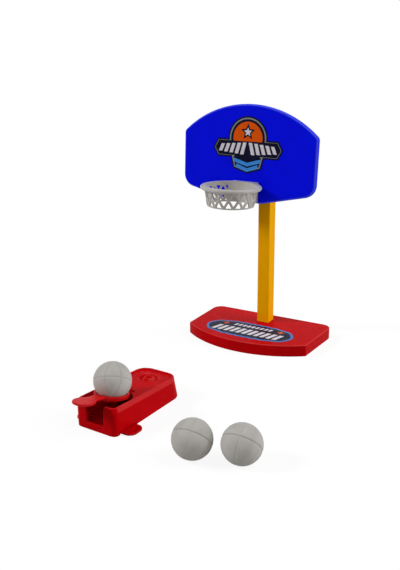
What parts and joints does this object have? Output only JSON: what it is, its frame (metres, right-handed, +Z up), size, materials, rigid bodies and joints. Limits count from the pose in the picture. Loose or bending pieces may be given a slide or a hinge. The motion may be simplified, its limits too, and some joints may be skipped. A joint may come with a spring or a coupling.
{
  "type": "tabletop basketball game",
  "caption": "Tabletop toy basketball game: a stand with a backboard and a net hoop, a sprung finger launcher and small hollow balls.",
  "frame": {"origin": "on the table below the middle of the post's front face, in the base cover's underside", "axes": "+Z up; +Y from the player's launcher towards the stand's back; +X to the player's right"},
  "size_m": [0.1556, 0.247, 0.1933],
  "materials": {
    "red_plastic": "moulded, semi-gloss",
    "yellow_plastic": "moulded, semi-gloss",
    "blue_plastic": "moulded, semi-gloss",
    "grey_plastic": "moulded, satin",
    "ball_plastic": "moulded, pebbled and matt",
    "label_film": "printed film",
    "plated_steel": "bright plating"
  },
  "bodies": {
    "stand": {"base_shell": "red_plastic", "base_cover": "red_plastic", "base_label": "label_film", "post": "yellow_plastic", "board_bracket": "yellow_plastic", "backboard": "blue_plastic", "backboard_label": "label_film", "basket": "grey_plastic", "base_screw_1": "plated_steel", "base_screw_2": "plated_steel", "base_screw_3": "plated_steel", "base_screw_4": "plated_steel", "post_foot_screw": "plated_steel", "post_top_screw": "plated_steel", "bracket_screw_left": "plated_steel", "bracket_screw_right": "plated_steel"},
    "launcher": {"launcher_housing": "red_plastic", "launcher_bottom_plate": "red_plastic", "pivot_pin": "plated_steel", "lever_spring": "plated_steel", "launcher_screw_1": "plated_steel", "launcher_screw_2": "plated_steel", "launcher_screw_3": "plated_steel", "launcher_screw_4": "plated_steel"},
    "lever": {"launcher_lever": "red_plastic"},
    "loaded_ball": {"ball_in_cup": "ball_plastic"},
    "left_ball": {"spare_ball_left": "ball_plastic"},
    "right_ball": {"spare_ball_right": "ball_plastic"}
  },
  "joints": [
    {"name": "launcher_aim", "type": "slide", "parent": "stand", "child": "launcher", "axis": [1, 0, 0], "range_m": [-0.03, 0.03]},
    {"name": "lever_press", "type": "hinge", "parent": "launcher", "child": "lever", "pos_m": [-0.01109, -0.17262, 0.0105], "axis": [0.9994, -0.0344, 0], "range_deg": [0, 18], "stiffness_Nm_per_rad": 0.1, "springref_deg": -17.19, "deforming": ["lever_spring"]},
    {"name": "loaded_ball_lift", "type": "slide", "parent": "lever", "child": "loaded_ball", "axis": [0, 0, 1], "range_m": [0, 0.08]},
    {"name": "left_ball_lift", "type": "slide", "parent": "stand", "child": "left_ball", "axis": [0, 0, 1], "range_m": [0, 0.08]},
    {"name": "right_ball_lift", "type": "slide", "parent": "stand", "child": "right_ball", "axis": [0, 0, 1], "range_m": [0, 0.08]}
  ]
}
